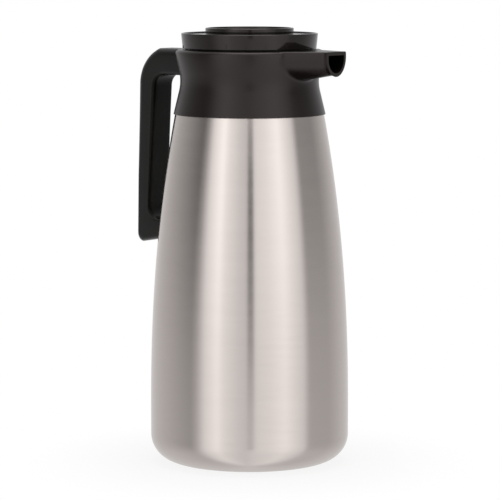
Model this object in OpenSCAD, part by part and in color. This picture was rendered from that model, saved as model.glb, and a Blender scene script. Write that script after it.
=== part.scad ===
// Thermal carafe: a vacuum flask with a moulded collar, spout, strap handle and turning lid.
// Millimetres, +Z up, +X towards the spout, origin on the table under the flask's centre.

/* [Body] */
// Widest diameter of the steel body
body_d = 130; // [122:1:140]
// Height of the collar's lower edge above the table
body_h = 229; // [215:1:245]
// Diameter of the steel where it meets the collar
shoulder_d = 97.2; // [96:0.2:102]
// Height at which the body is widest
belly_z = 35; // [25:1:50]
// How late the taper turns inwards, as the power of its curve
taper_power = 2.17; // [1.8:0.01:2.6]
// Radius of the corner between wall and base
corner_r = 17.5; // [12:0.5:22]
// Thickness of the steel sheet
steel_t = 0.6; // [0.4:0.1:0.8]
// Vacuum gap between the two steel walls
vacuum_gap = 5; // [3:0.5:7]
// Inside radius of the flask's neck
neck_r = 35; // [32:0.5:36]

/* [Base] */
// How far the rubber pad stands out below the steel
foot_h = 1; // [0.6:0.1:2]
// Depth of the recess pressed into the base
recess_h = 5; // [4.5:0.5:8]
// Width of the flat ring between the recess and the corner
foot_ring_w = 5.5; // [5:0.1:8]
// How far the edge of the rubber pad stays in from the recess
pad_inset = 5; // [3:0.5:10]

/* [Collar] */
// Height of the collar
collar_h = 42; // [40:1:48]
// Smallest diameter of the collar, at its waist
waist_d = 90.4; // [88:0.2:94]
// Largest diameter of the collar's top
collar_top_d = 96.6; // [94:0.2:100]
// Height of the waist above the collar's lower edge
waist_z = 21.5; // [18:0.5:24]
// How far the collar's lower edge stands out from the steel
collar_step = 1; // [0.5:0.1:1.5]
// Radius of the rounding of the collar's top edge
collar_round = 3; // [2:0.25:4]
// Wall thickness of the collar
collar_t = 2.4; // [2:0.1:3]
// Radius of the bore that the lid turns in
bore_r = 38; // [37.5:0.25:39]
// Depth of that bore
bore_h = 16.8; // [16:0.2:18]

/* [Spout] */
// Distance from the axis to the spout's mouth
spout_reach = 70; // [62:1:80]
// Width of the mouth
spout_w = 21; // [18:0.5:26]
// Height of the mouth
spout_h = 16; // [14:0.5:17]
// Width of the spout where it leaves the collar
spout_root_w = 44; // [36:1:46]
// Height of the spout where it leaves the collar
spout_root_h = 19.5; // [18:0.5:21]
// Wall thickness of the spout
spout_t = 2.3; // [1.4:0.1:2.6]
// Length of the lip that flares at the mouth
lip_l = 2.4; // [1:0.2:4]
// Height that the lip flares downwards
lip_flare = 0.8; // [0:0.1:1.4]

/* [Handle] */
// How far the handle's outer face stands out past the widest part of the body
handle_stand = 23.5; // [20:0.5:30]
// How much nearer to the axis the outer face is at the bend
handle_lean = 1.3; // [0:0.1:4]
// Width of the handle across
handle_w = 21; // [18:0.5:26]
// Depth of the grip, from outer to inner face, at its lower end
grip_depth = 11; // [10.5:0.5:13]
// Depth of the grip just under the bend
grip_top_depth = 14.4; // [13:0.2:16]
// Height of the arm that joins the collar
arm_h = 17.5; // [16.5:0.5:20]
// Radius of the outer bend
bend_r = 26; // [22:0.5:30]
// Radius of the inner bend
inner_bend_r = 8; // [5:0.5:10]
// Distance from the collar's top down to the handle's lower end
handle_drop = 130.8; // [110:0.2:140]
// Height of the toe that reaches the steel
toe_h = 11; // [10.5:0.5:13]
// Rounding of the handle's edges
handle_round = 5; // [3:0.25:5]
// Wall thickness of the handle shell
handle_t = 2.2; // [1.8:0.1:2.6]
// Thickness of the cover let into the handle's inner side
cover_t = 2; // [1.6:0.1:2.6]
// Width of that cover
cover_w = 11; // [9:0.5:13]

/* [Lid] */
// Diameter of the lid at its top
lid_d = 89.2; // [86:0.2:94]
// Height of the lid's side
lid_h = 9.8; // [8.4:0.2:12]
// Gap between the lid and the collar
lid_gap = 0.8; // [0.5:0.1:1.5]
// Draft of the lid's side, as the radius lost from top to bottom
lid_draft = 1; // [0:0.1:1.4]
// Wall thickness of the lid's cap
lid_t = 2; // [1.6:0.1:2.4]
// Depth of the sunken top of the cap
lid_sunk = 0.9; // [0.5:0.1:1.2]
// Width of the rim round the sunken top
lid_rim_w = 1.4; // [1:0.1:2]
// Diameter of the raised brewing funnel
funnel_d = 57.8; // [50:0.2:62]
// Height that the funnel stands above the lid's rim
funnel_h = 3.4; // [3:0.2:6]
// Radius of the funnel's hole
funnel_hole_r = 4.2; // [3.5:0.1:4.5]
// Radius of the float ball
ball_r = 5; // [4.8:0.1:5.3]
// Travel of the float ball
ball_travel = 4; // [2:0.5:5]
// Wall thickness of the stopper's skirt
skirt_t = 2; // [1.6:0.1:2.4]
// Angle that the pouring window of the stopper spans
window_angle = 50; // [40:1:60]
// Number of ticks on the lid's side
tick_count = 4; // [2:1:8]

/* [Fits] */
// Clearance of pieces that are fixed together
fit_gap = 0.1; // [0.05:0.01:0.15]
// Clearance of pieces that turn or slide
turn_gap = 0.4; // [0.3:0.05:0.5]

/* [Hidden] */
$fn = 96;

steel = "#b9b2ae";
black = "#2b2828";
rubber_black = "#1c1c1c";
silicone = "#d8d4cc";

// How far a cut runs past what it cuts, and how far two shapes of one solid run into each other
over = 1;
join = 0.1;

// Radii and heights that the pieces share
body_r_max = body_d / 2;
shoulder_r = shoulder_d / 2;
handle_reach = body_r_max + handle_stand;
collar_top_z = body_h + collar_h;
ledge_z = collar_top_z - bore_h;
ledge_t = 1.2;
gasket_t = 1;
lip_z = ledge_z - ledge_t - gasket_t;
curve_steps = 22;
arc_steps = 8;

// Radius of the steel's outside at height z, between the belly and the collar
function body_r(z) = z <= belly_z ? body_r_max
    : body_r_max - (body_r_max - shoulder_r) * pow((z - belly_z) / (body_h - belly_z), taper_power);
function lerp(a, b, t) = a + (b - a) * t;
// Points of an arc about c from angle a0 to a1
function arc(c, r, a0, a1, steps = arc_steps) =
    [for (i = [0 : steps]) c + r * [cos(lerp(a0, a1, i / steps)), sin(lerp(a0, a1, i / steps))]];

// The taper, set in by inset, between heights z0 and z1
function taper(z0, z1, inset = 0) =
    [for (i = [0 : curve_steps]) let (z = lerp(z0, z1, i / curve_steps)) [body_r(z) - inset, z]];

module turned(points) {
    rotate_extrude($fn = 96) polygon(points);
}

module ring(r_in, r_out, z0, z1) {
    translate([0, 0, z0]) difference() {
        cylinder(r = r_out, h = z1 - z0);
        translate([0, 0, -over]) cylinder(r = r_in, h = z1 - z0 + 2 * over);
    }
}

// A screw hole, pin or boss that lies along the X axis, from x on at height z
module along_x(x, z, r, h) {
    translate([x, 0, z]) rotate([0, 90, 0]) cylinder(r = r, h = h, $fn = 32);
}

// Steel flask: the outer shell steps in under the collar and ends in a straight neck
joggle_gap = 0.4;
joggle_r = shoulder_r + collar_step - collar_t - joggle_gap;
joggle_h = 1.2;
neck_gap = 1;
neck_l = 11.5;
neck_out_r = neck_r + 2 * steel_t + neck_gap;
neck_low_z = lip_z - neck_l;
// Bead rolled into the neck, which the collar snaps over
bead_r = 1.6;
bead_drop = 6;
bead_z = lip_z - bead_drop;
base_z = foot_h;
foot_flat_r = body_r_max - corner_r;
recess_r = foot_flat_r - foot_ring_w;
base_edge_w = 1.6;
base_edge_r = recess_r + base_edge_w;
corner_end_z = base_z + corner_r;
wall_start = 0.5;
// Outside of the outer shell, inset by d
function shell_side(d) = concat(
    arc([foot_flat_r, corner_end_z], corner_r - d, -90, 0),
    taper(corner_end_z + wall_start, body_h - d, d),
    [[joggle_r - d, body_h - d], [joggle_r - d, body_h + joggle_h],
    [neck_out_r - d, neck_low_z], [neck_out_r - d, bead_z - bead_r]]);

module outer_shell() {
    color(steel) difference() {
        union() {
            turned(concat([[base_edge_r, base_z]], shell_side(0),
                [[neck_out_r, lip_z - steel_t], [neck_out_r - steel_t, lip_z - steel_t]],
                [for (i = [len(shell_side(steel_t)) - 1 : -1 : 0]) shell_side(steel_t)[i]],
                [[base_edge_r, base_z + steel_t]]));
            neck_bead();
        }
        translate([0, 0, bead_z - 2 * bead_r]) cylinder(r = neck_out_r - steel_t, h = 4 * bead_r);
    }
}

flask_inset = steel_t + vacuum_gap;
flask_floor_z = base_z + recess_h + steel_t + vacuum_gap;
flask_corner_r = corner_r - 1.5;
flask_low_r = body_r_max - flask_inset;
flask_drop = 2;
flask_top_z = body_h - vacuum_gap - flask_drop;
flask_neck_z = neck_low_z - flask_drop;
function flask_side(d) = concat(
    [[0, flask_floor_z + d]],
    arc([flask_low_r - flask_corner_r, flask_floor_z + flask_corner_r], flask_corner_r - d, -90, 0),
    taper(max(belly_z, flask_floor_z + flask_corner_r + wall_start), flask_top_z, flask_inset + d),
    [[neck_r + steel_t - d, flask_neck_z], [neck_r + steel_t - d, lip_z]]);

module inner_flask() {
    color(steel) union() {
        turned(concat(flask_side(0),
            [for (i = [len(flask_side(steel_t)) - 1 : -1 : 0]) flask_side(steel_t)[i]]));
        ring(neck_r, neck_out_r, lip_z - steel_t, lip_z);
    }
}

// Base: the plate closes the recess, and the plug closes the hole that the air was drawn out through
plug_r = 3;
plug_h = 1.2;
plug_pin_r = 1.2;
flange_w = 3;
recess_top_z = base_z + recess_h;
plug_low_z = recess_top_z - plug_h;
module base_plate() {
    flange_r = base_edge_r + flange_w;
    color(steel) difference() {
        turned([[0, recess_top_z], [recess_r, recess_top_z], [recess_r, base_z + steel_t],
            [flange_r, base_z + steel_t], [flange_r, base_z + 2 * steel_t],
            [recess_r + steel_t, base_z + 2 * steel_t], [recess_r + steel_t, recess_top_z + steel_t],
            [0, recess_top_z + steel_t]]);
        translate([0, 0, recess_top_z - over]) cylinder(r = plug_pin_r, h = steel_t + 2 * over);
    }
}

module vacuum_plug() {
    color(steel) translate([0, 0, plug_low_z]) union() {
        cylinder(r = plug_r, h = plug_h);
        cylinder(r = plug_pin_r, h = plug_h + steel_t);
    }
}

// Gas absorber, a small disc under the flask's floor
getter_h = 2;
getter_r = 6;
getter_x = 22;
module getter() {
    color("gray") translate([getter_x, 0, flask_floor_z - getter_h]) cylinder(r = getter_r, h = getter_h);
}

foot_pad_r = recess_r - pad_inset;
cap_t = 1.2;
cap_lift = 0.4;
cap_low_z = base_z + cap_lift;
pad_top_z = plug_low_z - cap_t;
pad_round = 0.6;
module base_cap() {
    color(black) difference() {
        translate([0, 0, cap_low_z]) cylinder(r = recess_r - fit_gap, h = plug_low_z - cap_low_z);
        translate([0, 0, cap_low_z - over])
            cylinder(r = foot_pad_r + fit_gap, h = pad_top_z - cap_low_z + over);
    }
}

module foot_pad() {
    color(rubber_black) turned(concat([[0, 0]],
        arc([foot_pad_r - pad_round, pad_round], pad_round, -90, 0, 4),
        [[foot_pad_r, pad_top_z], [0, pad_top_z]]));
}

// Collar, the spout set into it, and the sleeve inside it
collar_low_r = shoulder_r + collar_step;
waist_r = waist_d / 2;
collar_top_r = collar_top_d / 2;
waist_arc_r = 27;
waist_low_angle = 13.5;
waist_high_angle = 12.5;
waist_steps = 12;
round_start = 15;
// Outside of the collar, from its lower edge up, set in by d
function collar_side(d) = concat(
    [[collar_low_r - d, body_h]],
    arc([waist_r + waist_arc_r, body_h + waist_z], waist_arc_r + d,
        180 + waist_low_angle, 180 - waist_high_angle, waist_steps),
    arc([collar_top_r - collar_round, collar_top_z - collar_round],
        max(collar_round - d, 0.2), round_start, 90));

// Sleeve inside the collar, which slips over the steel neck below the ledge and takes the lid above it
tube_t = 2.6;
tube_low_z = neck_low_z + 1;
ledge_in_r = neck_r + 0.4;

// Tongue on the collar that the handle's arm slides over, and its two screws
arm_drop = 0.7;
arm_top_z = collar_top_z - arm_drop;
arm_low_z = arm_top_z - arm_h;
tongue_w = 13;
tongue_h = 5.5;
tongue_lift = 3.2;
tongue_l = 18;
tongue_z = arm_low_z + cover_t + tongue_lift;
tongue_tip = -collar_top_r - tongue_l;
tongue_start = bore_r + tube_t + fit_gap;
screw_r = 1.4;
screw_head_r = 2.6;
screw_x = [for (out = [5, 13]) -collar_top_r - out];

// Outline of a spout section: a flat top, and a keel that takes up most of the height
keel_share = 0.8;
keel_steps = 24;
function spout_outline(w, z0, z1, soft) = let (keel = (z1 - z0) * keel_share) concat(
    [for (i = [0 : keel_steps]) let (a = 180 * i / keel_steps) [-w / 2 * cos(a), z0 + keel - keel * sin(a)]],
    arc([w / 2 - soft, z1 - soft], soft, 0, 90, 4),
    arc([-w / 2 + soft, z1 - soft], soft, 90, 180, 4));

slice_t = 0.1;
spout_edge_r = 1.2;
module spout_slice(x, w, z0, z1, soft = spout_edge_r) {
    translate([x, 0, 0]) rotate([90, 0, 90]) linear_extrude(slice_t) polygon(spout_outline(w, z0, z1, soft));
}

// The spout tapers from just inside the collar's wall, and runs straight from there in to the bore
root_sink = 1.5;
spout_root_x = sqrt(pow(collar_top_r, 2) - pow(spout_root_w / 2, 2)) - root_sink;
spout_start = bore_r - 3;
spout_low_z = collar_top_z - spout_h;
module spout_body() {
    hull($fn = 32) {
        for (x = [spout_start, spout_root_x])
            spout_slice(x, spout_root_w, collar_top_z - spout_root_h, collar_top_z);
        spout_slice(spout_reach - lip_l, spout_w, spout_low_z + lip_flare, collar_top_z);
    }
    hull($fn = 32) {
        spout_slice(spout_reach - lip_l, spout_w, spout_low_z + lip_flare, collar_top_z);
        spout_slice(spout_reach - slice_t, spout_w, spout_low_z, collar_top_z);
    }
}

// The channel starts inside the bore, as wide as the spout's root less its walls
channel_start = bore_r - 4;
channel_root_wall = 4;
channel_root_top = 4.2;
channel_lift = 0.2;
channel_edge_r = 0.6;
module spout_channel() {
    hull($fn = 32) {
        spout_slice(channel_start, spout_root_w - 2 * channel_root_wall, ledge_z + channel_lift,
            collar_top_z - channel_root_top);
        spout_slice(spout_reach + slice_t, spout_w - 2 * spout_t,
            spout_low_z + spout_t, collar_top_z - spout_t, channel_edge_r);
    }
}

module tongue() {
    difference() {
        translate([tongue_tip, -tongue_w / 2, tongue_z])
            cube([-tongue_tip - tongue_start, tongue_w, tongue_h]);
        for (x = screw_x) translate([x, 0, tongue_z - over])
            cylinder(r = screw_r + fit_gap, h = tongue_h + 2 * over, $fn = 32);
    }
}

module neck_bead(grow = 0) {
    translate([0, 0, bead_z]) rotate_extrude() translate([neck_out_r - steel_t / 2, 0])
        circle(r = bead_r + grow, $fn = 24);
}

module collar() {
    inside = [for (p = collar_side(collar_t)) [p[0], min(p[1], collar_top_z - collar_t)]];
    color(black) union() {
        difference() {
            turned(concat(collar_side(0), [[bore_r, collar_top_z], [bore_r, collar_top_z - collar_t]],
                [for (i = [len(inside) - 1 : -1 : 0]) inside[i]]));
            spout_body();
        }
        tongue();
    }
}

// Above the ledge the spout takes in the bore's wall, and below it the spout stops at the sleeve
module spout() {
    color(black) difference() {
        spout_body();
        spout_channel();
        translate([0, 0, body_h]) cylinder(r = bore_r, h = collar_h + over);
        translate([0, 0, body_h]) cylinder(r = bore_r + tube_t, h = ledge_z - body_h);
    }
}

module neck_sleeve() {
    color(black) difference() {
        union() {
            ring(bore_r, bore_r + tube_t, tube_low_z, collar_top_z - collar_t);
            ring(ledge_in_r, bore_r + tube_t / 2, ledge_z - ledge_t, ledge_z);
        }
        intersection() {
            spout_body();
            translate([0, 0, ledge_z]) cylinder(r = spout_reach, h = bore_h + over);
        }
        spout_channel();
        neck_bead(2 * fit_gap);
    }
}

module neck_gasket() {
    color(silicone) ring(ledge_in_r, neck_out_r, lip_z, ledge_z - ledge_t);
}

// Handle: every station is a pair of points, on the outer and on the inner face, in the XZ plane
toe_sink = 3;
toe_slope = 0.2;
toe_curl = 0.8;
toe_fillet = 9;
heel_r = 3.6;
heel_turn = 80;
heel_lift = 0.2;
// Share of the bend's radius that its centre lies below the arm's top
bend_share = 0.935;
arm_start = bore_r + tube_t + 0.4;
toe_low_z = collar_top_z - handle_drop;
toe_x = body_r(toe_low_z + toe_h / 2) - toe_sink;
bend_c = [handle_reach - handle_lean - bend_r, arm_top_z - bend_share * bend_r];
bend_start = asin(bend_share);
inner_bend_x = handle_reach - handle_lean - grip_top_depth - inner_bend_r;
inner_low_x = handle_reach - grip_depth;
toe_end_low_z = toe_low_z + (handle_reach - toe_x) * toe_slope - toe_curl;
toe_top_z = toe_end_low_z + toe_h;
// The grip's two faces end a little above the heel and the fillet
grip_clear = 2;
outer_low_z = toe_low_z + heel_r + grip_clear;
inner_low_z = toe_top_z + toe_fillet + grip_clear;
// The outer face leans in over the upper part of the grip only
lean_share = 1.6;

arm_steps = 4;
bend_steps = 10;
grip_steps = 6;
toe_steps = 8;
function outer_face() = concat(
    [for (i = [0 : arm_steps - 1])
        [lerp(arm_start, bend_c[0] + bend_r * cos(bend_start), i / arm_steps), arm_top_z]],
    arc(bend_c, bend_r, bend_start, 0, bend_steps),
    [for (i = [1 : grip_steps]) [
        lerp(handle_reach - handle_lean, handle_reach, min(1, lean_share * i / grip_steps)),
        lerp(bend_c[1], outer_low_z, i / grip_steps)]],
    arc([handle_reach - heel_r, toe_low_z + heel_r], heel_r, 0, -heel_turn, toe_steps),
    [for (i = [1 : arm_steps]) [
        lerp(handle_reach - heel_r, toe_x, i / arm_steps),
        lerp(toe_low_z + heel_lift, toe_end_low_z, i / arm_steps)]]);
function inner_face() = concat(
    [for (i = [0 : arm_steps - 1]) [lerp(arm_start, inner_bend_x, i / arm_steps), arm_low_z]],
    arc([inner_bend_x, arm_low_z - inner_bend_r], inner_bend_r, 90, 0, bend_steps),
    [for (i = [1 : grip_steps]) [
        lerp(inner_bend_x + inner_bend_r, inner_low_x, i / grip_steps),
        lerp(arm_low_z - inner_bend_r, inner_low_z, i / grip_steps)]],
    arc([inner_low_x - toe_fillet, toe_top_z + toe_fillet], toe_fillet, 0, -90, toe_steps),
    [for (i = [1 : arm_steps]) [lerp(inner_low_x - toe_fillet, toe_x, i / arm_steps), toe_top_z]]);

// One closed section between an outer point o and an inner point n, from its list of [depth, y]
function placed(o, n, section) =
    [for (p = section) let (q = o + (n - o) / norm(n - o) * p[0]) [-q[0], p[1], q[1]]];
corner_steps = 4;
// The handle's outside: a rectangle l deep and w wide with its four corners rounded by r
function shell_section(l, w, r) = concat(
    arc([r, r - w / 2], r, 270, 180, corner_steps), arc([r, w / 2 - r], r, 180, 90, corner_steps),
    arc([l - r, w / 2 - r], r, 90, 0, corner_steps), arc([l - r, r - w / 2], r, 0, -90, corner_steps));
// A plain rectangle from depth d0 to d1, w wide
function box_section(d0, d1, w) = [[d1, -w / 2], [d0, -w / 2], [d0, w / 2], [d1, w / 2]];

module swept(sections) {
    n = len(sections[0]);
    m = len(sections);
    polyhedron(
        points = [for (s = sections) each s],
        faces = concat(
            [[for (j = [0 : n - 1]) j]],
            [for (i = [0 : m - 2], j = [0 : n - 1]) let (k = (j + 1) % n)
                each [[i * n + j, (i + 1) * n + j, i * n + k],
                    [i * n + k, (i + 1) * n + j, (i + 1) * n + k]]],
            [[for (j = [n - 1 : -1 : 0]) (m - 1) * n + j]]),
        convexity = 6);
}

// The space that the steel takes, grown by d, from the belly up to just under the collar
module steel_space(d = 0) {
    top_z = body_h - 1;
    turned(concat([[0, belly_z]], taper(belly_z, top_z, -d), [[0, top_z]]));
}

// What the handle is cut back to: the collar and the steel, grown by a clearance
module handle_seat() {
    low_z = body_h - 5;
    turned(concat([[0, low_z], [collar_low_r + fit_gap, low_z]], collar_side(-fit_gap),
        [[0, collar_top_z + fit_gap]]));
    steel_space(fit_gap);
}

// Lower fixing: a stud welded to the steel, a screw through the handle into it, and a cap over the screw
cap_r = 4;
cap_h = 0.5;
stud_z = (toe_end_low_z + handle_t + toe_top_z - cover_t) / 2;
stud_r = 2;
stud_l = 9;
stud_sink = 8;
thread_l = 5;
head_t = 1.6;
stud_tip = -body_r(stud_z) - stud_l;
lower_head_x = -handle_reach + handle_t;
boss_start = -handle_reach + 0.6;
lower_boss_l = handle_t + 2.4;
outer_points = outer_face();
inner_points = inner_face();
function face_gap(i) = norm(inner_points[i] - outer_points[i]);
module handle_swept(section_at) {
    swept([for (i = [0 : len(outer_points) - 1])
        placed(outer_points[i], inner_points[i], section_at(face_gap(i)))]);
}

side_wall = handle_t + 0.3;
cover_seat_t = 1.5;
upper_boss_r = 3.4;
upper_boss_z = tongue_z + tongue_h + fit_gap;
upper_hole_h = tongue_h + 5;
module handle_shell() {
    color(black) difference() {
        union() {
            difference() {
                handle_swept(function(l) shell_section(l, handle_w, min(handle_round, l / 2 - 0.4)));
                handle_swept(function(l)
                    box_section(handle_t, l - cover_t - cover_seat_t, handle_w - 2 * side_wall));
                handle_swept(function(l) box_section(l / 2, l + over, cover_w + 2 * fit_gap));
            }
            for (x = screw_x) translate([x, 0, upper_boss_z])
                cylinder(r = upper_boss_r, h = arm_top_z - 1 - upper_boss_z, $fn = 32);
            along_x(boss_start, stud_z, cap_r + 1, lower_boss_l);
        }
        handle_seat();
        for (x = screw_x) translate([x, 0, tongue_z])
            cylinder(r = screw_r + fit_gap / 2, h = upper_hole_h, $fn = 32);
        along_x(-handle_reach - over, stud_z, cap_r + fit_gap, handle_t + over);
        along_x(boss_start, stud_z, screw_r + fit_gap, lower_boss_l + over);
    }
}

module handle_cover() {
    color(black) difference() {
        handle_swept(function(l) box_section(l - cover_t, l - fit_gap, cover_w));
        handle_seat();
    }
}

module handle_upper_screws() {
    color("silver") for (x = screw_x) translate([x, 0, tongue_z]) {
        translate([0, 0, -head_t]) cylinder(r = screw_head_r, h = head_t, $fn = 32);
        translate([0, 0, -join]) cylinder(r = screw_r, h = upper_hole_h - over, $fn = 32);
    }
}

module handle_stud() {
    color("silver") difference() {
        along_x(stud_tip, stud_z, stud_r, stud_l + stud_sink);
        along_x(stud_tip - over, stud_z, screw_r + fit_gap / 2, thread_l + 2 * over);
        steel_space();
    }
}

module handle_lower_screw() {
    color("silver") {
        along_x(lower_head_x - head_t, stud_z, screw_head_r, head_t);
        along_x(lower_head_x - join, stud_z, screw_r, stud_tip - lower_head_x + thread_l);
    }
}

module handle_screw_cap() {
    color(black) along_x(-handle_reach, stud_z, cap_r, cap_h);
}

// Lid
lid_z = collar_top_z + lid_gap;
lid_top_z = lid_z + lid_h;
lid_r = lid_d / 2;
lid_low_r = lid_r - lid_draft;
lid_floor_z = lid_top_z - lid_sunk;
funnel_r = funnel_d / 2;
funnel_top_z = lid_top_z + funnel_h;
spigot_r = funnel_r - 1.8;
cap_in_r = lid_low_r - lid_t;
skirt_r = bore_r - turn_gap;
gasket_gap = 0.05;
gasket_low_z = ledge_z + gasket_gap;
skirt_low_z = gasket_low_z + gasket_t;
plate_z = lid_z;
plate_t = 1.6;
groove_z = collar_top_z - 1.2;
groove_h = 2.1;
groove_low_z = groove_z - groove_h;
groove_r = skirt_r - 1.5;
groove_wall = 1.2;
groove_floor = 0.8;
inner_step = 2;
seal_gap = 0.08;
lid_edge_r = 0.8;

// Radius of the lid's drafted side at height z
function lid_side_r(z) = lerp(lid_low_r, lid_r, (z - lid_z) / (lid_h - lid_edge_r));

module lid_cap() {
    under_z = lid_floor_z - lid_t;
    color(black) union() {
        turned(concat([[lid_low_r, lid_z]],
            arc([lid_r - lid_edge_r, lid_top_z - lid_edge_r], lid_edge_r, 0, 90, 6),
            [[lid_r - lid_rim_w, lid_top_z], [lid_r - lid_rim_w, lid_floor_z],
            [spigot_r + fit_gap, lid_floor_z], [spigot_r + fit_gap, under_z],
            [cap_in_r, under_z], [cap_in_r, lid_z]]));
        lid_ticks();
    }
}

// Small raised ticks low on the lid's side, which show how far it has been turned
tick_start = -72;
tick_step = 17;
tick_w = 0.7;
tick_h = 2.4;
tick_out = 0.4;
tick_low_z = lid_z + 1.2;
tick_high_z = tick_low_z + tick_h;
module lid_ticks() {
    for (i = [0 : tick_count - 1]) rotate([0, 0, tick_start + i * tick_step])
        translate([0, tick_w / 2, 0]) rotate([90, 0, 0]) linear_extrude(tick_w)
            polygon([[lid_low_r - lid_t / 2, tick_low_z], [lid_side_r(tick_low_z) + tick_out, tick_low_z],
                [lid_side_r(tick_high_z) + tick_out, tick_high_z], [lid_low_r - lid_t / 2, tick_high_z]]);
}

// Funnel with the hole that the float ball closes from below, and the ball's cage on the stopper's tube
ball_gap = 0.3;
cage_t = 1.4;
tube_in_r = ball_r + 1;
tube_out_r = tube_in_r + 1.6;
hole_t = 1.2;
hole_out_r = funnel_hole_r + hole_t;
seat_z = skirt_low_z + 2 * ball_r + ball_travel - 0.6;
// Depth that the ball sinks into the hole when it is up
ball_sink = ball_r - sqrt(ball_r * ball_r - funnel_hole_r * funnel_hole_r);
cage_z = seat_z - ball_gap - ball_travel - 2 * ball_r + ball_sink;
ball_z = cage_z + ball_r + 0.1;
dish_depth = 3.4;
dish_z = lid_floor_z - dish_depth;
snap_w = 0.7;
snap_z = lid_floor_z - lid_t - 1.4;
funnel_rim = [1.7, 2.4];
rim_drop = 3.2;
hole_round = [1.5, 0.6];
module brew_funnel() {
    color(black) turned(concat(
        [[funnel_hole_r, seat_z], [hole_out_r, seat_z], [hole_out_r, dish_z - 3 * hole_round[1]],
        [spigot_r - 2, snap_z], [spigot_r + snap_w, snap_z],
        [spigot_r + snap_w, lid_floor_z - lid_t - fit_gap], [spigot_r, lid_floor_z - lid_t - fit_gap],
        [spigot_r, lid_floor_z], [funnel_r, lid_floor_z]],
        arc([funnel_r - lid_edge_r, funnel_top_z - lid_edge_r], lid_edge_r, 0, 90, 6),
        [[funnel_r - funnel_rim[0], funnel_top_z], [funnel_r - funnel_rim[1], funnel_top_z - rim_drop],
        [funnel_hole_r + hole_round[0], dish_z + hole_round[1]], [funnel_hole_r, dish_z - hole_round[1]]]));
}

skirt_in_r = skirt_r - skirt_t;
module stopper() {
    plate_r = cap_in_r - fit_gap;
    crown_r = groove_r - groove_wall;
    color(black) difference() {
        turned([[tube_in_r, plate_z + plate_t], [plate_r, plate_z + plate_t], [plate_r, plate_z],
            [skirt_r, plate_z], [skirt_r, groove_z], [groove_r, groove_z], [groove_r, groove_low_z],
            [skirt_r, groove_low_z], [skirt_r, skirt_low_z], [skirt_in_r, skirt_low_z],
            [skirt_in_r, groove_low_z - inner_step], [crown_r, groove_low_z - groove_floor],
            [crown_r, plate_z], [tube_out_r, plate_z], [tube_out_r, cage_z], [tube_in_r, cage_z]]);
        pour_window();
    }
}

// The window faces sideways at rest and comes round to the spout when the lid has turned a quarter
window_edge = 1.5;
window_low_z = skirt_low_z + window_edge;
window_top_z = groove_low_z - inner_step + 0.2;
module pour_window() {
    rotate([0, 0, -90 - window_angle / 2]) rotate_extrude(angle = window_angle, $fn = 96)
        polygon([[skirt_in_r - over, window_low_z], [skirt_r + over, window_low_z],
            [skirt_r + over, window_top_z], [skirt_in_r - over, window_top_z]]);
}

module stopper_gasket() {
    color(silicone) ring(skirt_in_r, skirt_r, gasket_low_z, skirt_low_z);
}

module lid_seal() {
    color(silicone) translate([0, 0, (groove_z + groove_low_z) / 2]) rotate_extrude()
        translate([(bore_r + groove_r) / 2, 0]) circle(r = (bore_r - groove_r) / 2 - seal_gap, $fn = 24);
}

module lid_insulation() {
    color("white")
        ring(spigot_r + 1.2, cap_in_r - 2 * fit_gap, plate_z + plate_t, lid_floor_z - lid_t - fit_gap);
}

cage_out_r = tube_out_r + 1.4;
cage_bar_w = 1.4;
cage_hold_h = 3;
module float_cage() {
    color(black) translate([0, 0, cage_z]) union() {
        ring(tube_out_r + fit_gap / 2, cage_out_r, -cage_t, cage_hold_h);
        ring(tube_in_r - 1.6, cage_out_r, -cage_t, 0);
        for (a = [0, 60, 120]) rotate([0, 0, a]) translate([-tube_in_r, -cage_bar_w / 2, -cage_t])
            cube([2 * tube_in_r, cage_bar_w, cage_t]);
    }
}

module float_ball() {
    color("white") translate([0, 0, ball_z]) sphere(r = ball_r, $fn = 48);
}

outer_shell();
inner_flask();
base_plate();
vacuum_plug();
getter();
base_cap();
foot_pad();
collar();
spout();
neck_sleeve();
neck_gasket();
handle_shell();
handle_cover();
handle_upper_screws();
handle_stud();
handle_lower_screw();
handle_screw_cap();
lid_seal();
lid_cap();
brew_funnel();
stopper();
stopper_gasket();
lid_insulation();
float_cage();
float_ball();
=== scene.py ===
"""Thermal carafe: brushed steel vacuum body, black collar, spout, strap handle and turning lid."""
from math import acos, atan2, cos, degrees, hypot, pi, radians, sin, sqrt, tan

import bmesh
import bpy
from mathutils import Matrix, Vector


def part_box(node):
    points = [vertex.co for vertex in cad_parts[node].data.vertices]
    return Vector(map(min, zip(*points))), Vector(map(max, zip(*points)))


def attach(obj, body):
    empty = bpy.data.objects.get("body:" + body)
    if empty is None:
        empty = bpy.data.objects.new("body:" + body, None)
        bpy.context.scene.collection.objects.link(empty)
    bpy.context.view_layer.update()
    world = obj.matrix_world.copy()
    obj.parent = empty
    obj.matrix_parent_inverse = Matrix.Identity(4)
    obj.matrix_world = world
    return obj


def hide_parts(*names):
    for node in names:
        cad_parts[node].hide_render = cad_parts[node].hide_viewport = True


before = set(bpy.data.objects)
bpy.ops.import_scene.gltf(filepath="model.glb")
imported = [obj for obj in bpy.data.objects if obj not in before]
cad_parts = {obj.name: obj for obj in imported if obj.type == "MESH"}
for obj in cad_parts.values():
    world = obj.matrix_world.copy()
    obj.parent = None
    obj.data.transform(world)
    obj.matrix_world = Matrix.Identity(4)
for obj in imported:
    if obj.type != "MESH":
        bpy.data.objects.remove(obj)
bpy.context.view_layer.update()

MM = 0.001


# Sizes, in millimetres and degrees, read from the frame where a node has them
def span(node):
    """Lowest and highest corner of a node's box."""
    low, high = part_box(node)
    return [v / MM for v in low], [v / MM for v in high]


shell_low, shell_high = span("outer_shell")
collar_low, collar_high = span("collar")
spout_high = span("spout")[1]
lid_low, lid_high = span("lid_cap")
funnel_high = span("brew_funnel")[1]
handle_low, handle_high = span("handle_shell")

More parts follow.
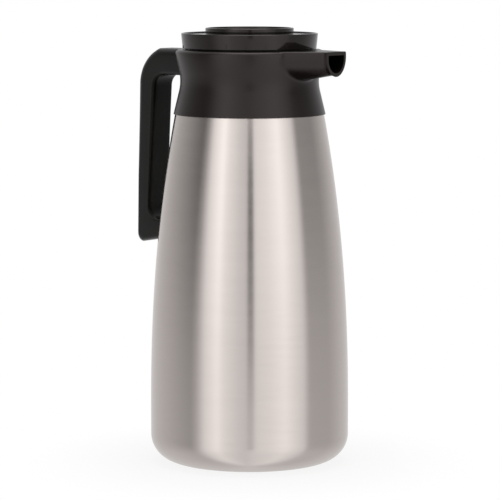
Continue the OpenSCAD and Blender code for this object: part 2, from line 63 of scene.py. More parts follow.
# Steel shell
BODY_R = shell_high[1]
BASE_Z = shell_low[2]
BODY_H = collar_low[2]
SHOULDER_R = 48.6
BELLY_Z = 35.0
TAPER_POWER = 2.17
CORNER_R = 17.5
CORNER_STEPS = 18
SIDE_START = 0.5
SIDE_STEPS = 56
SHEET_T = 0.6
BASE_EDGE_R = 43.6
JOGGLE_R = 46.8
JOGGLE_H = 1.2
NECK_R = 37.2
NECK_LOW_Z = 240.5
NECK_TOP_Z = shell_high[2]

# Collar
COLLAR_TOP_Z = collar_high[2]
COLLAR_STEP = 1.0
COLLAR_T = 2.4
COLLAR_TOP_R = 48.3
COLLAR_ROUND = 3.0
COLLAR_ROUND_MIN = 0.2
COLLAR_ROUND_START = 15
COLLAR_ROUND_STEPS = 10
WAIST_R = 45.2
WAIST_Z = 21.5
WAIST_ARC_R = 27.0
WAIST_LOW_ANGLE = 13.5
WAIST_HIGH_ANGLE = 12.5
WAIST_STEPS = 28
BORE_R = 38.0
BORE_H = 16.8
BORE_EDGE = 0.6
LEDGE_Z = COLLAR_TOP_Z - BORE_H
LEDGE_R = NECK_R - 1.8
LEDGE_T = 1.2
TUBE_T = 2.6
TUBE_LOW_Z = NECK_LOW_Z + 1

# Spout
SPOUT_REACH = spout_high[0]
SPOUT_W = 21.0
SPOUT_H = 16.0
SPOUT_ROOT_W = 44.0
SPOUT_ROOT_H = 19.5
SPOUT_ROOT_SINK = 1.5
SPOUT_WALL = 2.3
SPOUT_LIP_L = 2.4
SPOUT_LIP_FLARE = 0.8
SPOUT_EDGE_R = 1.2
SPOUT_SHARP_DEG = 40
ROOT_X = sqrt(COLLAR_TOP_R ** 2 - (SPOUT_ROOT_W / 2) ** 2) - SPOUT_ROOT_SINK
LIP_X = SPOUT_REACH - SPOUT_LIP_L
TOP_DROP = 0.02
KEEL_SHARE = 0.8
KEEL_STEPS = 40
EDGE_STEPS = 6
TOP_STEPS = 8
# The spout's hollow: how far it starts inside the bore and ends past the mouth, how much narrower
# than the spout's root it is, its height over the ledge, the roof over it and its corners' radius
CHANNEL_START = BORE_R - 4
CHANNEL_PAST = 0.4
CHANNEL_NARROW = 8
CHANNEL_LIFT = 0.2
CHANNEL_ROOF = 4.2
CHANNEL_EDGE_R = 1.0
CHANNEL_EDGE_LOSS = 0.3
CHANNEL_STEPS = 12
# The spout's skin: its fillet to the collar, and how it comes back inside to the mouth
SPOUT_FILLET = 2.6
FILLET_NONE = 0.9
FILLET_FULL = 0.2
FILLET_STEPS = 10
FILLET_TOP_GAP = 0.03
FILLET_SINK = 0.02
FILLET_SIDE_SHARE = 0.98
STRAIGHT_STEPS = 14
MEETING_STEP = 0.25
MOUTH_EDGE = 0.35
SKIN_BACK = 1.2
SKIN_BACK_SHARE = 0.97
SKIN_FIRST_ROW = 4
MOUTH_WIDEN = 1.012

# Handle
HANDLE_W = handle_high[1] - handle_low[1]
HANDLE_REACH = -handle_low[0]
HANDLE_TOP_Z = handle_high[2]
HANDLE_LOW_Z = handle_low[2]
HANDLE_ROUND = 5.0
HANDLE_INNER_ROUND = 6.0
HANDLE_ROUND_SHARE = 0.45
HANDLE_ROUND_STEPS = 10
HANDLE_SHARP_DEG = 38
ARM_START = BORE_R + 3
ARM_H = 17.5
BEND_R = 26.0
BEND_DROP = 24.31
INNER_BEND_R = 8.0
HANDLE_LEAN = 1.3
LEAN_RATE = 1.6
GRIP_DEPTH = 11.0
GRIP_TOP_DEPTH = 14.4
GRIP_END_GAP = 2
HEEL_R = 3.6
HEEL_END = -80
HEEL_LIFT = 0.2
TOE_FILLET = 9.0
TOE_H = 11.0
TOE_SLOPE = 0.2
TOE_DROP = 0.8
TOE_SINK = 3
# Points along the faces, the same on the outer and the inner one
ARM_STEPS = 6
BEND_STEPS = 20
GRIP_STEPS = 16
HEEL_STEPS = 16
TOE_STEPS = 6
# The cover lies in a channel in the handle's inner side, tucked in under the roundings
COVER_T = 2.0
COVER_W = 11.0
COVER_TUCK = 1.1
COVER_HALF = COVER_W / 2 - COVER_TUCK + 0.02
COVER_BACK_GAP = 0.02
SEAT_HALF = COVER_W / 2 - COVER_TUCK + 0.03
SEAT_EDGE = 0.1
CAP_GAP = 0.12
CAP_BACK_GAP = 0.02
CAP_CUT_OUT = 1
CAP_SEGMENTS = 64

# Lid
LID_R = lid_high[1]
LID_Z = lid_low[2]
LID_TOP_Z = lid_high[2]
LID_DRAFT = 1.0
LID_SUNK = 0.9
LID_RIM_W = 1.4
LID_RIM_LEAN = 0.3
LID_T = 2.0
LID_FLOOR_Z = LID_TOP_Z - LID_SUNK
LID_UNDER_Z = LID_FLOOR_Z - LID_T
FUNNEL_R = funnel_high[0]
FUNNEL_TOP_Z = funnel_high[2]
FUNNEL_LEAN = 0.3
FUNNEL_HOLE_R = 4.2
FUNNEL_SEGMENTS = 192
SPIGOT_R = FUNNEL_R - 1.8
SPIGOT_GAP = 0.1
FLANGE_R = SPIGOT_R + 0.7
FLANGE_LOW_Z = LID_UNDER_Z - 1.4
FLANGE_TOP_Z = LID_UNDER_Z - 0.1
DISH_Z = LID_FLOOR_Z - 3.4
# Four raised ticks on the lid's side: rows of (height over the lid's foot, how far it stands out)
TICK_START = -72.0
TICK_STEP = 17.0
TICK_COUNT = 4
TICK_ROWS = ((1.2, 0.18), (1.5, 0.44), (3.2, 0.5), (3.6, 0.2))
TICK_FOOT_HALF = 0.35
TICK_FACE_HALF = 0.3
TICK_SINK = 0.15


# Meshes
SHARP_DEG = 32.0
MERGE_DISTANCE = 0.002
ROUND_SEGMENTS = 256
NEARLY_LEVEL = 1e-4
CORNER_EDGE_SHARE = 0.49


def add_piece(name, verts, faces, sharp_deg=SHARP_DEG):
    """One object from millimetre points, smooth but for edges sharper than sharp_deg."""
    mesh = bpy.data.meshes.new(name)
    mesh.from_pydata([[c * MM for c in v] for v in verts], [], faces)
    mesh.validate()
    obj = bpy.data.objects.new(name, mesh)
    bpy.context.scene.collection.objects.link(obj)
    finish_mesh(obj, sharp_deg)
    return obj


def finish_mesh(obj, sharp_deg):
    """Merges points that coincide, turns the faces outwards and marks the sharp edges."""
    bm = bmesh.new()
    bm.from_mesh(obj.data)
    bmesh.ops.remove_doubles(bm, verts=bm.verts, dist=MERGE_DISTANCE * MM)
    bmesh.ops.recalc_face_normals(bm, faces=bm.faces)
    for face in bm.faces:
        face.smooth = True
    for edge in bm.edges:
        edge.smooth = len(edge.link_faces) == 2 and edge.calc_face_angle(0) < radians(sharp_deg)
    bm.to_mesh(obj.data)
    bm.free()


def cut(obj, rows, sharp_deg=SHARP_DEG):
    """Cuts out of obj the solid that the rows run through."""
    cutter = add_piece("cutter", *grid(rows, cap=True))
    modifier = obj.modifiers.new("cut", "BOOLEAN")
    modifier.operation = "DIFFERENCE"
    modifier.solver = "EXACT"
    modifier.object = cutter
    graph = bpy.context.evaluated_depsgraph_get()
    mesh = bpy.data.meshes.new_from_object(obj.evaluated_get(graph))
    obj.modifiers.clear()
    obj.data = mesh
    bpy.data.objects.remove(cutter, do_unlink=True)
    finish_mesh(obj, sharp_deg)


def grid(rows, ring=False, cap=False):
    """Points and faces of rows that are closed loops.

    With ring the last row joins the first, and with cap both ends are filled.
    """
    verts = [p for row in rows for p in row]
    n = len(rows[0])
    faces = []
    for i in range(len(rows) if ring else len(rows) - 1):
        a, b = i * n, (i + 1) % len(rows) * n
        for j in range(n):
            k = (j + 1) % n
            faces.append((a + j, a + k, b + k, b + j))
    if cap:
        faces.append(tuple(range(n - 1, -1, -1)))
        faces.append(tuple((len(rows) - 1) * n + j for j in range(n)))
    return verts, faces


def lathe(name, outline, segments=ROUND_SEGMENTS):
    """Turns a closed outline of (radius, height) about the Z axis."""
    turns = [2 * pi * k / segments for k in range(segments)]
    rows = [[(r * cos(turn), r * sin(turn), z) for turn in turns] for r, z in outline]
    return add_piece(name, *grid(rows, ring=True))


def arc(cx, cz, r, a0, a1, steps):
    """Points of an arc from a0 to a1 degrees."""
    turns = [radians(a0 + (a1 - a0) * i / steps) for i in range(steps + 1)]
    return [(cx + r * cos(turn), cz + r * sin(turn)) for turn in turns]


def line(x0, z0, x1, z1, steps):
    """Points of a line, without its first."""
    return [(x0 + (x1 - x0) * i / steps, z0 + (z1 - z0) * i / steps) for i in range(1, steps + 1)]


def between(start, end, t):
    return start + (end - start) * t


def rounded(points, steps=5):
    """A closed outline of (x, z, corner radius), with its corners rounded."""
    out = []
    for i, (x, z, r) in enumerate(points):
        if r <= 0:
            out.append((x, z))
            continue
        px, pz, _ = points[i - 1]
        nx, nz, _ = points[(i + 1) % len(points)]
        corner = Vector((x, z))
        back, ahead = Vector((px - x, pz - z)), Vector((nx - x, nz - z))
        longest = min(back.length * CORNER_EDGE_SHARE, ahead.length * CORNER_EDGE_SHARE)
        back.normalize()
        ahead.normalize()
        half = acos(max(-1.0, min(1.0, back.dot(ahead)))) / 2
        reach = min(r / tan(half), longest)
        start, end = corner + back * reach, corner + ahead * reach
        # A rational curve with this weight is a true arc
        weight = sin(half)
        for k in range(steps + 1):
            t = k / steps
            p = start * (1 - t) ** 2 + corner * 2 * weight * t * (1 - t) + end * t ** 2
            p /= (1 - t) ** 2 + 2 * weight * t * (1 - t) + t ** 2
            out.append((p.x, p.y))
    return out


# Materials
def new_material(name):
    mat = bpy.data.materials.new(name)
    mat.use_nodes = True
    return mat, mat.node_tree, mat.node_tree.nodes["Principled BSDF"]


def put(tree, kind, **values):
    """A node with these settings, or values of its inputs."""
    node = tree.nodes.new(kind)
    for key, value in values.items():
        if hasattr(node, key):
            setattr(node, key, value)
        else:
            node.inputs[key].default_value = value
    return node


def feed(tree, node, values):
    """Gives a node's inputs, from the first on, a number or another node's result."""
    for socket, value in zip(node.inputs, values):
        if isinstance(value, (int, float)):
            socket.default_value = value
        else:
            tree.links.new(value, socket)


def math_node(tree, operation, *values):
    node = put(tree, "ShaderNodeMath", operation=operation)
    feed(tree, node, values)
    return node.outputs[0]


def map_range(tree, value, source, target=(0.0, 1.0), curve="LINEAR"):
    """The value, carried from the source range over to the target range and held there."""
    node = put(tree, "ShaderNodeMapRange", interpolation_type=curve)
    for name, number in zip(("From Min", "From Max", "To Min", "To Max"), (*source, *target)):
        node.inputs[name].default_value = number
    tree.links.new(value, node.inputs["Value"])
    return node.outputs[0]


def soft_step(tree, value, source, target=(0.0, 1.0)):
    """As map_range, with a soft start and end. The source range may run downwards."""
    return map_range(tree, value, source, target, "SMOOTHSTEP")


def split_vector(tree, vector):
    node = tree.nodes.new("ShaderNodeSeparateXYZ")
    tree.links.new(vector, node.inputs[0])
    return node.outputs


def ramp(tree, value, stops):
    """The colour that the stops of (position, colour) give for the value."""
    node = tree.nodes.new("ShaderNodeValToRGB")
    elements = node.color_ramp.elements
    while len(elements) < len(stops):
        elements.new(0.5)
    for element, (position, color) in zip(elements, stops):
        element.position = position
        element.color = (*color, 1)
    tree.links.new(value, node.inputs[0])
    return node.outputs[0]


def noise(tree, vector, scale, detail, roughness):
    node = put(tree, "ShaderNodeTexNoise", Scale=scale, Detail=detail, Roughness=roughness)
    tree.links.new(vector, node.inputs["Vector"])
    return node.outputs["Fac"]


def mix_values(tree, share, first, second):
    node = put(tree, "ShaderNodeMix", data_type="FLOAT")
    node.inputs[0].default_value = share
    tree.links.new(first, node.inputs[2])
    tree.links.new(second, node.inputs[3])
    return node.outputs[0]


def mix_colors(tree, share, first, second):
    """A mix of two colours, each of them a level of grey or another node's result."""
    node = put(tree, "ShaderNodeMix", data_type="RGBA")
    tree.links.new(share, node.inputs[0])
    for socket, value in ((node.inputs[6], first), (node.inputs[7], second)):
        if isinstance(value, float):
            socket.default_value = (value, value, value, 1)
        else:
            tree.links.new(value, socket)
    return node.outputs[2]


def mix_shaders(tree, share, first, second):
    node = tree.nodes.new("ShaderNodeMixShader")
    feed(tree, node, (share, first, second))
    return node.outputs[0]


def around_and_up(tree, around, up):
    """Coordinates that run round the Z axis and up it, so that a texture streaks round the body."""
    coords = tree.nodes.new("ShaderNodeTexCoord")
    split = split_vector(tree, coords.outputs["Object"])
    turn = math_node(tree, "ARCTAN2", split["Y"], split["X"])
    # Cosine and sine of the angle keep the seam closed
    parts = [math_node(tree, "MULTIPLY", math_node(tree, operation, turn), around)
             for operation in ("COSINE", "SINE")]
    joined = tree.nodes.new("ShaderNodeCombineXYZ")
    feed(tree, joined, (*parts, math_node(tree, "MULTIPLY", split["Z"], up)))
    return joined.outputs[0]


# Where a noise texture's values mostly lie
NOISE_SPAN = (0.3, 0.7)
# Scratches: rounds of texture about the axis, detail, roughness
FINE_SCRATCHES = (3.0, 4.0, 0.65)
BROAD_SCRATCHES = (1.2, 3.0, 0.5)
BROAD_GRAIN = 1 / 12
BROAD_SHARE = 0.4
SCRATCH_TURN = 0.25
SCRATCH_BUMP = (0.05, 0.00004)
# Moulded surface: detail and roughness of its textures
PEBBLE = (2.0, 0.6)
MOTTLE = (4.0, 0.55)
MOTTLE_SCALE = 38.0
MOTTLE_LIGHT_AT = 0.72
PEBBLE_SHARE = 0.5
PEBBLE_BUMP = 0.3
# Specular level of a satin face, and the lower one that paints shade on a side turned from the light
SATIN_LEVEL = 0.5
SHADED_SIDE_LEVEL = 0.12


def dress(tree, bsdf, tone, stops, gloss, rough, height, strength, distance):
    """Colour from the tone, roughness from the gloss and bump from the height."""
    tree.links.new(ramp(tree, tone, stops), bsdf.inputs["Base Color"])
    tree.links.new(map_range(tree, gloss, NOISE_SPAN, rough), bsdf.inputs["Roughness"])
    bump = put(tree, "ShaderNodeBump", Strength=strength, Distance=distance)
    tree.links.new(height, bump.inputs["Height"])
    tree.links.new(bump.outputs[0], bsdf.inputs["Normal"])


def brushed_steel(name, dark, light, rough, anisotropic=0.8, grain=900.0):
    """Steel with fine scratches that run round the body."""
    mat, tree, bsdf = new_material(name)
    bsdf.inputs["Metallic"].default_value = 1.0
    bsdf.inputs["Anisotropic"].default_value = anisotropic
    bsdf.inputs["Anisotropic Rotation"].default_value = SCRATCH_TURN
    tangent = put(tree, "ShaderNodeTangent", direction_type="RADIAL", axis="Z")
    tree.links.new(tangent.outputs[0], bsdf.inputs["Tangent"])
    fine, broad = [
        noise(tree, around_and_up(tree, rounds, up), 1.0, detail, roughness)
        for (rounds, detail, roughness), up in (
            (FINE_SCRATCHES, grain), (BROAD_SCRATCHES, grain * BROAD_GRAIN))]
    both = mix_values(tree, BROAD_SHARE, fine, broad)
    stops = [(NOISE_SPAN[0], dark), (NOISE_SPAN[1], light)]
    dress(tree, bsdf, both, stops, both, rough, fine, *SCRATCH_BUMP)
    return mat


def moulded(name, dark, light, rough, grain=2600.0, relief=0.00003, tint=(1, 1, 1)):
    """Moulded plastic or rubber: a fine pebble, a faint mottle and slightly uneven gloss."""
    mat, tree, bsdf = new_material(name)
    bsdf.inputs["Specular Tint"].default_value = (*tint, 1)
    coords = tree.nodes.new("ShaderNodeTexCoord").outputs["Object"]
    pebble = noise(tree, coords, grain, *PEBBLE)
    mottle = noise(tree, coords, MOTTLE_SCALE, *MOTTLE)
    both = mix_values(tree, PEBBLE_SHARE, mottle, pebble)
    stops = [(NOISE_SPAN[0], dark), (MOTTLE_LIGHT_AT, light)]
    dress(tree, bsdf, mottle, stops, both, rough, pebble, PEBBLE_BUMP, relief)
    return mat


def shade_side_by_gloss(mat, axis, start, end):
    """Paints shade: takes the gloss off the faces whose normal's part along axis goes from start to
    end, so they render darker.
    """
    tree = mat.node_tree
    geometry = tree.nodes.new("ShaderNodeNewGeometry")
    part = split_vector(tree, geometry.outputs["Normal"])[axis]
    level = soft_step(tree, part, (start, end), (SATIN_LEVEL, SHADED_SIDE_LEVEL))
    tree.links.new(level, tree.nodes["Principled BSDF"].inputs["Specular IOR Level"])


WARM = (1.0, 0.9, 0.89)
STEEL = brushed_steel("steel_brushed", (0.68, 0.618, 0.588), (0.72, 0.655, 0.625),
                      rough=(0.19, 0.23), grain=1500.0)
STEEL_INNER = brushed_steel("steel_inner", (0.5, 0.48, 0.46), (0.62, 0.6, 0.58),
                            rough=(0.3, 0.42), anisotropic=0.4)
SCREW = brushed_steel("screw_steel", (0.55, 0.55, 0.55), (0.66, 0.66, 0.66),
                      rough=(0.18, 0.28), anisotropic=0.2)
COLLAR_BLACK = moulded("collar_black", (0.005, 0.0026, 0.0022), (0.008, 0.0046, 0.004),
                       rough=(0.27, 0.33), relief=0.000006, tint=WARM)
# Painted shade: the collar's and spout's downward faces lose their gloss, so they render darker
shade_side_by_gloss(COLLAR_BLACK, "Z", -0.4, -0.8)
HANDLE_BLACK = moulded("handle_black", (0.004, 0.004, 0.0034), (0.0065, 0.0066, 0.0056),
                       rough=(0.26, 0.32), relief=0.000008)
# Painted shade: the handle's faces turned towards the body lose their gloss, so they render darker
shade_side_by_gloss(HANDLE_BLACK, "X", -0.1, 0.5)
LID_BLACK = moulded("lid_black", (0.006, 0.0042, 0.0038), (0.009, 0.0066, 0.006),
                    rough=(0.09, 0.13), relief=0.000003, tint=WARM)
BASE_BLACK = moulded("base_black", (0.016, 0.016, 0.016), (0.022, 0.022, 0.022),
                     rough=(0.5, 0.62))
RUBBER = moulded("pad_rubber", (0.012, 0.012, 0.012), (0.02, 0.02, 0.02),
                 rough=(0.7, 0.82), grain=1400.0)
SILICONE = moulded("seal_silicone", (0.5, 0.49, 0.46), (0.62, 0.6, 0.57),
                   rough=(0.4, 0.5), grain=900.0)
FOAM = moulded("foam", (0.68, 0.67, 0.63), (0.84, 0.83, 0.79),
               rough=(0.85, 0.95), grain=1100.0, relief=0.0002)
FLOAT_WHITE = moulded("float_white", (0.72, 0.72, 0.7), (0.8, 0.8, 0.78),
                      rough=(0.3, 0.4), grain=1800.0)

# The solids that show as they are
CAD_MATERIALS = {
    "inner_flask": STEEL_INNER, "base_plate": STEEL_INNER, "vacuum_plug": STEEL_INNER,
    "getter": STEEL_INNER, "base_cap": BASE_BLACK, "foot_pad": RUBBER, "neck_gasket": SILICONE,
    "handle_upper_screws": SCREW, "handle_stud": SCREW, "handle_lower_screw": SCREW,
    "handle_screw_cap": HANDLE_BLACK, "lid_seal": SILICONE, "stopper": BASE_BLACK,
    "stopper_gasket": SILICONE, "lid_insulation": FOAM, "float_cage": BASE_BLACK,
    "float_ball": FLOAT_WHITE,
}
for node_name, material in CAD_MATERIALS.items():
    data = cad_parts[node_name].data
    data.materials.clear()
    data.materials.append(material)


def place(obj, body, slot_name, material, *replaced):
    """Gives a piece its material and its body, and hides the nodes that it stands for. The slot name
    is not used.
    """
    obj.data.materials.clear()
    obj.data.materials.append(material)
    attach(obj, body)
    if replaced:
        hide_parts(*replaced)


# Steel shell
def body_radius(z):
    if z <= BELLY_Z:
        return BODY_R
    rise = (z - BELLY_Z) / (BODY_H - BELLY_Z)
    return BODY_R - (BODY_R - SHOULDER_R) * rise ** TAPER_POWER


def shell_side(inset):
    """The rounded corner and the side up to the collar, moved in by inset."""
    corner_z = BASE_Z + CORNER_R
    corner = arc(BODY_R - CORNER_R, corner_z, CORNER_R - inset, -90, 0, CORNER_STEPS)
    low, top = corner_z + SIDE_START, BODY_H - inset
    heights = [between(low, top, i / SIDE_STEPS) for i in range(SIDE_STEPS + 1)]
    return corner + [(body_radius(z) - inset, z) for z in heights]


def make_shell():
    outside = [(BASE_EDGE_R, BASE_Z)] + shell_side(0) + [
        (JOGGLE_R, BODY_H), (JOGGLE_R, BODY_H + JOGGLE_H),
        (NECK_R, NECK_LOW_Z), (NECK_R, NECK_TOP_Z)]
    inside = shell_side(SHEET_T) + [
        (JOGGLE_R - SHEET_T, BODY_H - SHEET_T), (JOGGLE_R - SHEET_T, BODY_H + JOGGLE_H),
        (NECK_R - SHEET_T, NECK_LOW_Z), (NECK_R - SHEET_T, NECK_TOP_Z)]
    shell = lathe("steel_shell", outside + inside[::-1] + [(BASE_EDGE_R, BASE_Z + SHEET_T)])
    place(shell, "pitcher", "steel_brushed", STEEL, "outer_shell")


# Collar and spout
def collar_side(inset):
    """The waist and the rounded rim, moved in by inset."""
    waist = arc(WAIST_R + WAIST_ARC_R, BODY_H + WAIST_Z, WAIST_ARC_R + inset,
                180 + WAIST_LOW_ANGLE, 180 - WAIST_HIGH_ANGLE, WAIST_STEPS)
    rim = arc(COLLAR_TOP_R - COLLAR_ROUND, COLLAR_TOP_Z - COLLAR_ROUND,
              max(COLLAR_ROUND - inset, COLLAR_ROUND_MIN),
              COLLAR_ROUND_START, 90, COLLAR_ROUND_STEPS)
    return waist + rim


def collar_radius(z):
    """Radius of the collar's outside at height z."""
    points = [(SHOULDER_R + COLLAR_STEP, BODY_H)] + collar_side(0)
    for (r0, z0), (r1, z1) in zip(points, points[1:]):
        if z0 <= z <= z1:
            return r0 + (r1 - r0) * (z - z0) / max(z1 - z0, 1e-6)
    return points[-1][0] if z > points[-1][1] else points[0][0]


def spout_outline(w, z0, z1, soft):
    """A section of the spout as (y, z): round under it along the keel, then back over its top."""
    keel = (z1 - z0) * KEEL_SHARE
    half = w / 2
    turns = [pi * i / KEEL_STEPS for i in range(KEEL_STEPS + 1)]
    under = [(-half * cos(turn), z0 + keel - keel * sin(turn)) for turn in turns]
    first_edge = arc(half - soft, z1 - soft, soft, 0, 90, EDGE_STEPS)
    second_edge = arc(-half + soft, z1 - soft, soft, 90, 180, EDGE_STEPS)
    top = [((half - soft) * (1 - 2 * i / TOP_STEPS), z1) for i in range(1, TOP_STEPS)]
    return under + first_edge + top + second_edge


def spout_row(x):
    """The section of the spout's outside at distance x from the axis."""
    t = (x - ROOT_X) / (LIP_X - ROOT_X)
    if t > 1:
        width = SPOUT_W
        flare = (x - LIP_X) / SPOUT_LIP_L
        low = COLLAR_TOP_Z - SPOUT_H + SPOUT_LIP_FLARE * (1 - flare)
    else:
        width = between(SPOUT_ROOT_W, SPOUT_W, t)
        low = COLLAR_TOP_Z - SPOUT_ROOT_H + (SPOUT_ROOT_H - SPOUT_H + SPOUT_LIP_FLARE) * t
    return [(x, y, z) for y, z in
            spout_outline(width, low, COLLAR_TOP_Z - TOP_DROP, SPOUT_EDGE_R)]


def channel_rows():
    """The hollow of the spout, from inside the bore out to past the mouth."""
    rows = []
    for i in range(CHANNEL_STEPS + 1):
        t = i / CHANNEL_STEPS
        x = between(CHANNEL_START, SPOUT_REACH + CHANNEL_PAST, t)
        width = between(SPOUT_ROOT_W - CHANNEL_NARROW, SPOUT_W - 2 * SPOUT_WALL, t)
        low = between(LEDGE_Z + CHANNEL_LIFT, COLLAR_TOP_Z - SPOUT_H + SPOUT_WALL, t)
        high = between(COLLAR_TOP_Z - CHANNEL_ROOF, COLLAR_TOP_Z - SPOUT_WALL, t)
        soft = CHANNEL_EDGE_R - CHANNEL_EDGE_LOSS * t
        rows.append([(x, y, z) for y, z in spout_outline(width, low, high, soft)])
    return rows


def make_collar():
    """The collar and its sleeve in one, with the spout's hollow cut through."""
    foot_r, tube_r = SHOULDER_R + COLLAR_STEP, BORE_R + TUBE_T
    under_z = COLLAR_TOP_Z - COLLAR_T
    outside = [(foot_r, BODY_H)] + collar_side(0) + [
        (BORE_R + BORE_EDGE, COLLAR_TOP_Z), (BORE_R, COLLAR_TOP_Z - BORE_EDGE)]
    bore = [
        (BORE_R, LEDGE_Z), (LEDGE_R, LEDGE_Z), (LEDGE_R, LEDGE_Z - LEDGE_T),
        (BORE_R, LEDGE_Z - LEDGE_T), (BORE_R, TUBE_LOW_Z), (tube_r, TUBE_LOW_Z),
        (tube_r, under_z)]
    inner = [(r, min(z, under_z)) for r, z in
             [(foot_r - COLLAR_T, BODY_H)] + collar_side(COLLAR_T)]
    inner = [p for i, p in enumerate(inner) if i == 0 or p[1] > inner[i - 1][1] + NEARLY_LEVEL]
    collar = lathe("collar_moulding", outside + bore + inner[::-1])
    cut(collar, channel_rows())
    place(collar, "pitcher", "collar_black", COLLAR_BLACK, "collar", "neck_sleeve")


def outline_normal(row, j):
    """Direction (y, z) out of a closed row at its point j."""
    a, b = row[j - 1], row[(j + 1) % len(row)]
    dy, dz = b[1] - a[1], b[2] - a[2]
    size = hypot(dy, dz) or 1
    return dz / size, -dy / size


def fillet_reach(row, j):
    """No fillet on the flat top, and a full one on the sides and the keel."""
    up = outline_normal(row, j)[1]
    share = (FILLET_NONE - up) / (FILLET_NONE - FILLET_FULL)
    return SPOUT_FILLET * max(0.0, min(1.0, share))


def collar_meeting(j):
    """Distance from the axis at which line j along the spout meets the collar."""
    x = LIP_X
    while True:
        _, y, z = spout_row(x)[j]
        if hypot(x, y) <= collar_radius(min(z, COLLAR_TOP_Z)) or x < BORE_R:
            return x
        x -= MEETING_STEP


def make_spout():
    """The spout's skin: straight rows from the mouth, then a strip that turns out into the collar."""
    mouth = spout_row(SPOUT_REACH)
    lines = range(len(mouth))
    join = [collar_meeting(j) for j in lines]
    reach = [fillet_reach(mouth, j) for j in lines]
    rows = [spout_row(x) for x in
            (SPOUT_REACH, SPOUT_REACH - MOUTH_EDGE, SPOUT_REACH - SPOUT_LIP_L * 0.5, LIP_X)]
    # Straight part, with as many rows on every line
    for i in range(1, STRAIGHT_STEPS + 1):
        rows.append([spout_row(LIP_X + (join[j] + reach[j] - LIP_X) * i / STRAIGHT_STEPS)[j]
                     for j in lines])
    # The strip that turns out, from the straight part's end to the collar's surface
    starts = rows[-1]
    corners = [spout_row(join[j])[j] for j in lines]
    ends = []
    for j in lines:
        _, y, z = corners[j]
        ny, nz = outline_normal(mouth, j)
        end_z = min(z + nz * reach[j], COLLAR_TOP_Z - FILLET_TOP_GAP)
        r = collar_radius(end_z) - FILLET_SINK
        side = r * FILLET_SIDE_SHARE
        end_y = max(-side, min(side, y + ny * reach[j]))
        ends.append((sqrt(max(r * r - end_y * end_y, 1)), end_y, end_z))
    for i in range(1, FILLET_STEPS + 1):
        t = i / FILLET_STEPS
        rows.append([tuple((1 - t) ** 2 * a + 2 * t * (1 - t) * b + t * t * c
                           for a, b, c in zip(start, corner, end))
                     for start, corner, end in zip(starts, corners, ends)])
    # Back inside, along the hollow, to the mouth's inner edge
    rows.append([(x - SKIN_BACK, y * SKIN_BACK_SHARE, z) for x, y, z in ends])
    hollow = channel_rows()
    for row in hollow[SKIN_FIRST_ROW:]:
        x = min(row[0][0], SPOUT_REACH - MOUTH_EDGE)
        rows.append([(x, y, z) for _, y, z in row])
    rows.append([(SPOUT_REACH, y * MOUTH_WIDEN, z) for _, y, z in hollow[-1]])
    rows.append(rows[0])
    spout = add_piece("spout_skin", *grid(rows), sharp_deg=SPOUT_SHARP_DEG)
    place(spout, "pitcher", "collar_black", COLLAR_BLACK, "spout")


# Handle
def outer_face(toe_x, toe_end):
    """Points down the handle's outer face, as (distance from the axis, height)."""
    top_reach = HANDLE_REACH - HANDLE_LEAN
    bend_x, bend_z = top_reach - BEND_R, HANDLE_TOP_Z - BEND_DROP
    first = degrees(atan2(BEND_DROP, sqrt(BEND_R ** 2 - BEND_DROP ** 2)))
    arm_end = bend_x + BEND_R * cos(radians(first))
    heel_x, heel_z = HANDLE_REACH - HEEL_R, HANDLE_LOW_Z + HEEL_R
    grip_z = heel_z + GRIP_END_GAP
    face = [(ARM_START, HANDLE_TOP_Z)]
    face += line(ARM_START, HANDLE_TOP_Z, arm_end, HANDLE_TOP_Z, ARM_STEPS)
    face += arc(bend_x, bend_z, BEND_R, first, 0, BEND_STEPS)[1:]
    face += [(top_reach + HANDLE_LEAN * min(1, LEAN_RATE * i / GRIP_STEPS),
              bend_z + (grip_z - bend_z) * i / GRIP_STEPS) for i in range(1, GRIP_STEPS + 1)]
    face += arc(heel_x, heel_z, HEEL_R, 0, HEEL_END, HEEL_STEPS)
    return face + line(heel_x, HANDLE_LOW_Z + HEEL_LIFT, toe_x, toe_end, TOE_STEPS)


def inner_face(toe_x, toe_end):
    """Points down the handle's inner face, one for each point of the outer face."""
    arm_low = HANDLE_TOP_Z - ARM_H
    bend_x = HANDLE_REACH - HANDLE_LEAN - GRIP_TOP_DEPTH - INNER_BEND_R
    bend_z = arm_low - INNER_BEND_R
    low_x = HANDLE_REACH - GRIP_DEPTH
    toe_top = toe_end + TOE_H
    grip_low = toe_top + TOE_FILLET + GRIP_END_GAP
    fillet_x = low_x - TOE_FILLET
    face = [(ARM_START, arm_low)] + line(ARM_START, arm_low, bend_x, arm_low, ARM_STEPS)
    face += arc(bend_x, bend_z, INNER_BEND_R, 90, 0, BEND_STEPS)[1:]
    face += line(bend_x + INNER_BEND_R, bend_z, low_x, grip_low, GRIP_STEPS)
    face += arc(fillet_x, toe_top + TOE_FILLET, TOE_FILLET, 0, -90, HEEL_STEPS)
    return face + line(fillet_x, toe_top, toe_x, toe_top, TOE_STEPS)


def handle_rows(section):
    """Rows of the handle, or its cover, from a function that gives the section at a depth."""
    toe_x = body_radius(HANDLE_LOW_Z + TOE_H / 2) - TOE_SINK
    toe_end = HANDLE_LOW_Z + (HANDLE_REACH - toe_x) * TOE_SLOPE - TOE_DROP
    rows = []
    for (ox, oz), (ix, iz) in zip(outer_face(toe_x, toe_end), inner_face(toe_x, toe_end)):
        depth = hypot(ix - ox, iz - oz)
        ux, uz = (ix - ox) / depth, (iz - oz) / depth
        rows.append([(-(ox + ux * d), y, oz + uz * d) for d, y in section(depth)])
    return rows


